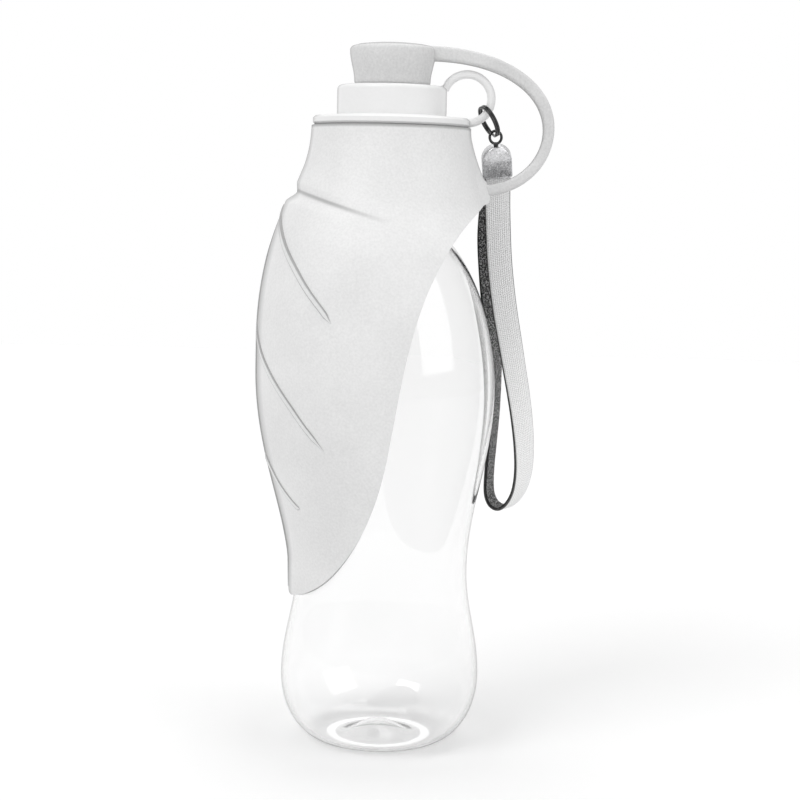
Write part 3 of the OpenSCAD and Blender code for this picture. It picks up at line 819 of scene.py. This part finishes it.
def leaf_point(sizes, angle, z):
    """A point of the moulding's outer face: an angle from the midrib and its row's height."""
    a = abs(angle)
    # the fold dips from the midrib towards the front and back, and fades there
    dip = FOLD_DIP * (1 - math.cos(min(a, math.pi / 2))) * (1 - risen(a, *DIP_SIDE))
    near = risen(z, *DIP_LOW) * (1 - risen(z, *DIP_HIGH))
    height = z - dip * near
    radius = moulding_radius(sizes, height)
    tuck = min(1.0, max(0.0, (TIP_Z + TIP_ROUND - z) / TIP_ROUND))
    radius -= TIP_DEPTH * (1 - math.sqrt(1 - tuck * tuck))
    if z > BROW_LOW:
        # the brow over the fold is full at the midrib and ends just short of the sides
        level = min(z, BROW_Z)
        swell = max(0.0, (2.6 * math.cos(a) - 0.2) / 2.4)
        stand = max(0.0, leaf_side_radius(sizes, level) - moulding_radius(sizes, level))
        radius += swell * stand * (1 - risen(z, *BROW_END))
        radius += between(FOLD_FLARE, z) * smooth(math.cos(a))
    x, y = -radius * math.cos(angle), radius * math.sin(angle)
    if x > 0:
        # the sweep out to the strap's root
        x += between(ROOT_FLARE, z) * (1 - risen(abs(y), *ROOT_END))
    return Vector((x, -y, height))


class MESH_OT_bottle_moulding(bpy.types.Operator):
    """Moulds the sleeve and the leaf as one silicone skin."""

    bl_idname = "mesh.bottle_moulding"
    bl_label = "Sleeve and leaf"

    def rows(self):
        """Heights of the mesh's rows, closer at the tip, the fold and the rim."""
        leaf = [50 + ROW_STEP * i for i in range(1, 119)]
        sleeve = [187 + ROW_STEP * i for i in range(14)]
        return [*TIP_ROWS, *leaf, *FOLD_ROWS, *sleeve, *RIM_ROWS]

    def execute(self, context):
        sizes = context.scene.moulding_sizes
        rows, edge = self.rows(), edge_table()
        bm = bmesh.new()
        bmesh.ops.create_grid(bm, x_segments=COLUMNS, y_segments=len(rows) - 1, size=1)
        thick = bm.verts.layers.deform.new("wall")
        painted_shade = bm.verts.layers.float.new("painted_shade")
        for v in bm.verts:
            u = v.co.x
            z = rows[round((v.co.y + 1) / 2 * (len(rows) - 1))]
            v[thick][0] = between(WALL_SHARE, z)
            radius, x_edge = moulding_radius(sizes, z), between(edge, z)
            reach = math.pi if x_edge >= radius else math.acos(max(-1, -x_edge / radius))
            v.co = leaf_point(sizes, u * reach, z)
            # painted shade along the fold's crease, strongest at the midrib
            fold_shade = max(0, 1 - abs(z - CREASE_SHADE_Z) / CREASE_SHADE_HALF)
            fold_shade *= smooth(1.4 * math.cos(u * reach) + 0.2)
            # painted shade: the rim under the cap's flange is darkened too
            v[painted_shade] = max(fold_shade, risen(z, *RIM_SHADE))
        self.add_lip(bm, rows[-1])
        close_up(bm)
        skin = surface(silicone_leaf)
        piece = finish_piece(
            bm, "silicone_moulding", skin, node=("sleeve", "leaf_blade")
        )
        piece.vertex_groups.new(name="wall")
        wall = piece.modifiers.new("wall", "SOLIDIFY")
        wall.thickness = sizes.wall
        wall.offset = -1
        wall.vertex_group = "wall"
        wall.thickness_vertex_group = WALL_SHARE[0][1]
        rounding = piece.modifiers.new("edges", "BEVEL")
        rounding.width = 0.55 * MM
        rounding.segments = 3
        rounding.limit_method = "ANGLE"
        rounding.angle_limit = math.radians(60)
        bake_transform(piece)
        return {"FINISHED"}

    def add_lip(self, bm, top):
        """Turns the rim in over the neck's ledge, where the cap clamps it."""
        rim = [
            e for e in bm.edges if e.is_boundary and all(v.co.z > top - 0.01 for v in e.verts)
        ]
        for radius, height in LIP:
            made = bmesh.ops.extrude_edge_only(bm, edges=rim)["geom"]
            rim = [g for g in made if isinstance(g, bmesh.types.BMEdge) and g.is_boundary]
            # the sheet's own two sides still stand on end here
            rim = [e for e in rim if (e.verts[0].co.xy - e.verts[1].co.xy).length > 1e-6]
            for v in {v for e in rim for v in e.verts}:
                flat = Vector((v.co.x, v.co.y, 0)).normalized() * radius
                v.co = Vector((flat.x, flat.y, height))


class MESH_OT_bottle_veins(bpy.types.Operator):
    """Lays the raised side veins and the midrib on the leaf."""

    bl_idname = "mesh.bottle_veins"
    bl_label = "Leaf veins"

    def execute(self, context):
        sizes = context.scene.moulding_sizes
        high = sizes.vein_height / MM
        joined = bmesh.new()
        for side in (1, -1):
            for half, *vein in VEINS:
                line = through([(side * a, z, 0) for a, z in vein], 9)
                self.add_rib(joined, sizes, line, half, high)
        midrib = [Vector((0, MIDRIB_FOOT + MIDRIB_STEP * i, 0)) for i in range(MIDRIB_POINTS)]
        self.add_rib(joined, sizes, midrib, MIDRIB_HALF, high)
        skin = surface(silicone_leaf)
        piece = finish_piece(joined, "leaf_veins", skin, sharp=75)
        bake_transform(piece)
        return {"FINISHED"}

    def add_rib(self, joined, sizes, line, half, high):
        """One tapering rib along a line of (degrees, height) on the leaf's face."""
        bm = bmesh.new()
        painted_shade = bm.verts.layers.float.new("painted_shade")
        edges = rounded_section(bm, 1, 1, 0.5, 4)
        for v in bm.verts:
            # painted shade darkens the rib's two sides
            v[painted_shade] = risen(abs(v.co.x), 0.45, 0.35)
        points = [leaf_point(sizes, math.radians(p.x), p.y) for p in line]
        stations = []
        for i, point in enumerate(points):
            ahead = ahead_at(points, i)
            out = squared(Vector((point.x, point.y, 0)).normalized(), ahead)
            # the rib thins along its length and quickly at both ends
            t = i / (len(points) - 1)
            taper = (1 - 0.3 * t * t) * min(1, 0.3 + 5 * t, 0.15 + 9 * (1 - t))
            origin = point - out * high * 0.5
            scale = (half * taper, high * (0.5 + taper))
            stations.append(place_of(origin, ahead.cross(out), out, ahead, scale))
        sweep(bm, edges, stations)
        add_mesh(joined, bm)


# ---- strap and stopper ----
ARCH = 51.1
LOWER_ARCH = ((31, 0, 183.2), (43, 0, 184.2), (ARCH, 0, 193), (ARCH, 0, 203))
UPPER_ARCH = ((ARCH, 0, 203), (ARCH, 0, 215.5), (37.5, 0, 226.7), (12.3, 0, 226.8))
# Steps along each arch, and the station where the strap's two pieces meet
LOWER_STEPS, UPPER_STEPS, SEAM = 22, 36, 20
STRAP_HALF_THICK, STRAP_CORNER = 1.6, 0.9
STOPPER_Z, STOPPER_TOP = 216.5, 230.0


def strap_stations(points, thickness):
    """Stations of the strap, which lies in the XZ plane with its width along Y."""
    stations = []
    for i, p in enumerate(points):
        ahead = ahead_at(points, i)
        up = ahead.cross(Vector((0, 1, 0)))
        scale = (1, between(thickness, i))
        stations.append(place_of(p, Vector((0, 1, 0)), up, ahead, scale))
    return stations


class MESH_OT_bottle_strap(bpy.types.Operator):
    """Moulds the strap over the cap, and the stopper at its end."""

    bl_idname = "mesh.bottle_strap"
    bl_label = "Strap and stopper"

    def execute(self, context):
        sizes = context.scene.moulding_sizes
        half, skin = sizes.strap_width / MM / 2, surface(silicone_strap)
        arch = [Vector((27.5, 0, 182.8))]
        arch += [bezier(LOWER_ARCH, i / LOWER_STEPS) for i in range(LOWER_STEPS)]
        arch += [bezier(UPPER_ARCH, i / UPPER_STEPS) for i in range(UPPER_STEPS + 1)]
        arch += [Vector((9, 0, 227.05)), Vector((5.5, 0, 227.2))]
        # the strap is a little thicker at its root and thickest at the stopper
        stations = strap_stations(arch, ((0, 1.15), (SEAM, 1), (len(arch) - 1, 4.6 / 3.2)))
        root = self.swept(half, stations[: SEAM + 1])
        piece = finish_piece(root, "strap_root", skin, node="strap_lower")
        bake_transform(piece)
        bm = self.swept(half, stations[SEAM:])
        self.add_stopper(bm, sizes.stopper_radius / MM)
        piece = finish_piece(
            bm, "strap_and_stopper", skin, node=("strap_upper", "stopper")
        )
        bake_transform(piece)
        return {"FINISHED"}

    def swept(self, half, stations):
        """The strap's section carried through these stations."""
        bm = bmesh.new()
        sweep(bm, rounded_section(bm, half, STRAP_HALF_THICK, STRAP_CORNER, 4), stations)
        return bm

    def add_stopper(self, bm, top_r):
        """Turns the stopper with its domed top, and the plug that fills the spout."""
        edge, dome, foot_r, foot_z = 1.4, 1.2, 12.35, STOPPER_Z + 0.9
        skirt = STOPPER_TOP - dome - edge
        profile = [(8.5, STOPPER_Z), (11.8, STOPPER_Z), (12.2, STOPPER_Z + 0.3), (foot_r, foot_z)]
        for i in range(1, 11):
            t = i / 10
            profile.append((foot_r + (top_r - foot_r) * smooth(t), foot_z + (skirt - foot_z) * t))
        for i in range(1, 9):
            a = math.pi / 2 * i / 8
            profile.append((top_r - edge * (1 - math.cos(a)), skirt + edge * math.sin(a)))
        for i in range(1, 11):
            r = (top_r - edge) * (1 - i / 10)
            profile.append((r, STOPPER_TOP - dome * (r / top_r) ** 2))
        # the cup's roof and the plug under it
        profile += [(0, 220.3), (0.9, 220.3), (1.5, 221.8), (6.8, 221.8)]
        made = bmesh.new()
        lathe(made, profile, 96, closed=True)
        add_mesh(bm, made)
        close_up(bm)


# ---- wrist loop's hardware ----
# Centre, then turns in degrees: the ring about Z and Y, the clamp under its eye about Y and X
RING_PLACE = ((31.68, 0.355, 205.6), (18.0, "Z"), (62.0, "Y"))
CLAMP_PLACE = ((34.03, 1.335, 200.56), (-6.0, "Y"), (25.0, "X"))
CLAMP_TOP, CLAMP_LENGTH, CLAMP_THICK, CLAMP_ROUND = 2.8, 11.2, 4.2, 0.7
# The wire's half sizes and corner, then its inset, layer, turns, first angle, steps
WIRE_SECTION = (0.42, 0.37, 0.2)
WIRE_INSET, WIRE_LAYER, WIRE_TURNS, WIRE_START, WIRE_STEPS = 0.45, 0.4, 1.92, 0.6, 192


class MESH_OT_bottle_ring(bpy.types.Operator):
    """Winds the split ring from two turns of flat wire."""

    bl_idname = "mesh.bottle_ring"
    bl_label = "Split ring"

    def execute(self, context):
        middle = context.scene.wrist_sizes.ring_radius / MM - WIRE_INSET
        bm = bmesh.new()
        edges = rounded_section(bm, *WIRE_SECTION, 2)
        stations = []
        for i in range(WIRE_STEPS + 1):
            t = i / WIRE_STEPS
            a = FULL_TURN * WIRE_TURNS * t + WIRE_START
            away = Vector((math.cos(a), math.sin(a), 0))
            origin = away * middle
            # the wire steps over to its second layer during a quarter turn
            origin.z = WIRE_LAYER * (2 * risen(t, 0.44, 0.12) - 1)
            ahead = Vector((-math.sin(a), math.cos(a), 0))
            stations.append(place_of(origin, away, Vector((0, 0, 1)), ahead))
        sweep(bm, edges, stations)
        bmesh.ops.transform(bm, matrix=turned(*RING_PLACE), verts=bm.verts)
        black = surface(gloss_black)
        finish_piece(bm, "key_ring", black, "ring", "split_ring")
        return {"FINISHED"}


class MESH_OT_bottle_clamp(bpy.types.Operator):
    """Moulds the arch-topped clamp that holds both ends of the webbing."""

    bl_idname = "mesh.bottle_clamp"
    bl_label = "Webbing clamp"

    def execute(self, context):
        r = context.scene.wrist_sizes.clamp_width / MM / 2
        depth = CLAMP_LENGTH - r
        bm = bmesh.new()
        bmesh.ops.create_circle(bm, segments=64, radius=r, cap_ends=True)
        for v in bm.verts:
            if v.co.y > -1e-4:
                continue
            # below the arch the outline runs straight down to square corners
            a = math.atan2(-v.co.y, abs(v.co.x))
            if a < math.pi / 4:
                v.co = Vector((math.copysign(r, v.co.x), -depth * math.tan(a), 0))
            else:
                v.co = Vector((r / math.tan(a) * math.copysign(1, v.co.x), -depth, 0))
        bmesh.ops.translate(bm, verts=bm.verts, vec=(0, -r, -CLAMP_THICK / 2))
        made = bmesh.ops.extrude_face_region(bm, geom=bm.faces[:])["geom"]
        top = [g for g in made if isinstance(g, bmesh.types.BMVert)]
        bmesh.ops.translate(bm, verts=top, vec=(0, 0, CLAMP_THICK))
        bmesh.ops.recalc_face_normals(bm, faces=bm.faces)
        sharp = [e for e in bm.edges if e.calc_face_angle(0) > 0.8]
        bmesh.ops.bevel(
            bm, geom=sharp, offset=CLAMP_ROUND, segments=4, profile=0.5, affect="EDGES", material=-1
        )
        upright = Matrix.Translation((0, 0, -CLAMP_TOP)) @ Matrix.Rotation(math.pi / 2, 4, "X")
        bmesh.ops.transform(bm, matrix=turned(*CLAMP_PLACE) @ upright, verts=bm.verts)
        smoked = surface(smoked_metal)
        finish_piece(bm, "loop_clamp", smoked, "clamp", "webbing_clamp")
        return {"FINISHED"}


# ---- carried-over solids ----
class MESH_OT_bottle_fittings(bpy.types.Operator):
    """Gives the cap, its gasket and the swivel eye their finishes."""

    bl_idname = "mesh.bottle_fittings"
    bl_label = "Cap, gasket and eye"

    def execute(self, context):
        for node, make in (
            ("cap", cap_satin),
            ("cap_gasket", silicone_leaf),
            ("swivel_eye", gloss_black),
        ):
            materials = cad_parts[node].data.materials
            materials.clear()
            materials.append(surface(make))
        return {"FINISHED"}


# ---- stage ----
FLOOR_HALF = 1.5
# Lamps: name, place, size and power
LAMPS = (
    ("key", (-0.9, -0.9, 1.2), 0.9, 9.5),
    ("fill", (1.1, -0.7, 0.7), 1.0, 4),
    ("top", (0.1, 0.3, 1.5), 1.2, 6.5),
)
LAMP_AIM = (0, 0, 0.12)


class SCENE_OT_bottle_stage(bpy.types.Operator):
    """Lays a pale floor and sets soft lamps round the bottle."""

    bl_idname = "scene.bottle_stage"
    bl_label = "Stage"

    def execute(self, context):
        bm = bmesh.new()
        bmesh.ops.create_grid(bm, x_segments=1, y_segments=1, size=FLOOR_HALF)
        floor = linked("floor", mesh_of(bm, "floor"))
        floor.data.materials.append(self.floor_material())
        self.set_world(context.scene)
        for name, place, size, power in LAMPS:
            data = bpy.data.lights.new(name, "AREA")
            data.energy = power
            data.size = size
            lamp = linked(name, data)
            lamp.location = place
            aim = Vector(LAMP_AIM) - Vector(place)
            lamp.rotation_euler = aim.to_track_quat("-Z", "Y").to_euler()
        context.scene.view_settings.view_transform = "Standard"
        return {"FINISHED"}

    def floor_material(self):
        """Pale floor that is white to the eye, apart from the bottle's shadow and a painted pool of
        light under the base.
        """
        material, tree, shader = new_material("pale_floor")
        away = added(tree, "ShaderNodeVectorMath", {0: object_place(tree)}, operation="LENGTH")
        distance = away.outputs["Value"]
        fade = mapped(tree, distance, low=0.15, high=1.5, first=0.2, last=0.41)
        # painted light: the floor glows brighter beneath the clear base, standing in for light the
        # base gathers there
        painted_light_pool = mapped(tree, distance, low=0.01, high=0.045, first=0.28, last=0, kind="SMOOTHSTEP")
        glow = maths(tree, "MULTIPLY", maths(tree, "ADD", fade, painted_light_pool), seen(tree))
        fill(tree, shader, {"Base Color": (0.8, 0.8, 0.8, 1), "Roughness": 0.9})
        fill(tree, shader, {"Emission Color": (1, 1, 1, 1), "Emission Strength": glow})
        return material

    def set_world(self, scene):
        """White to the eye, softer as a lamp."""
        world = bpy.data.worlds.new("surround")
        scene.world = world
        world.use_nodes = True
        tree = world.node_tree
        strength = mapped(tree, seen(tree), first=0.55)
        fill(tree, tree.nodes["Background"], {"Color": (1, 1, 1, 1), "Strength": strength})


# ---- panel and registration ----
STEPS = (
    SCENE_OT_bottle_camera,
    MESH_OT_bottle_webbing,
    MESH_OT_bottle_body,
    MESH_OT_bottle_moulding,
    MESH_OT_bottle_veins,
    MESH_OT_bottle_strap,
    MESH_OT_bottle_ring,
    MESH_OT_bottle_clamp,
    MESH_OT_bottle_fittings,
    SCENE_OT_bottle_stage,
)
GROUPS = {
    "bottle_sizes": BottleSizes,
    "moulding_sizes": MouldingSizes,
    "wrist_sizes": WristSizes,
    "bottle_finishes": Finishes,
}


class VIEW3D_PT_bottle(bpy.types.Panel):
    """Lists the bottle's sizes and the steps that build it."""

    bl_idname = "VIEW3D_PT_bottle"
    bl_label = "Travel bottle"
    bl_space_type = "VIEW_3D"
    bl_region_type = "UI"
    bl_category = "Bottle"

    def draw(self, context):
        for name, group in GROUPS.items():
            box = self.layout.box()
            for label in group.__annotations__:
                box.prop(getattr(context.scene, name), label)
        for step in STEPS:
            self.layout.operator(step.bl_idname)


CLASSES = (*GROUPS.values(), *STEPS, VIEW3D_PT_bottle)


def register():
    for item in CLASSES:
        bpy.utils.register_class(item)
    for name, group in GROUPS.items():
        setattr(bpy.types.Scene, name, bpy.props.PointerProperty(type=group))


def unregister():
    for name in GROUPS:
        delattr(bpy.types.Scene, name)
    for item in reversed(CLASSES):
        bpy.utils.unregister_class(item)


def main():
    """Registers the add-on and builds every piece."""
    register()
    for step in STEPS:
        family, name = step.bl_idname.split(".")
        getattr(getattr(bpy.ops, family), name)()


if __name__ == "__main__":
    main()
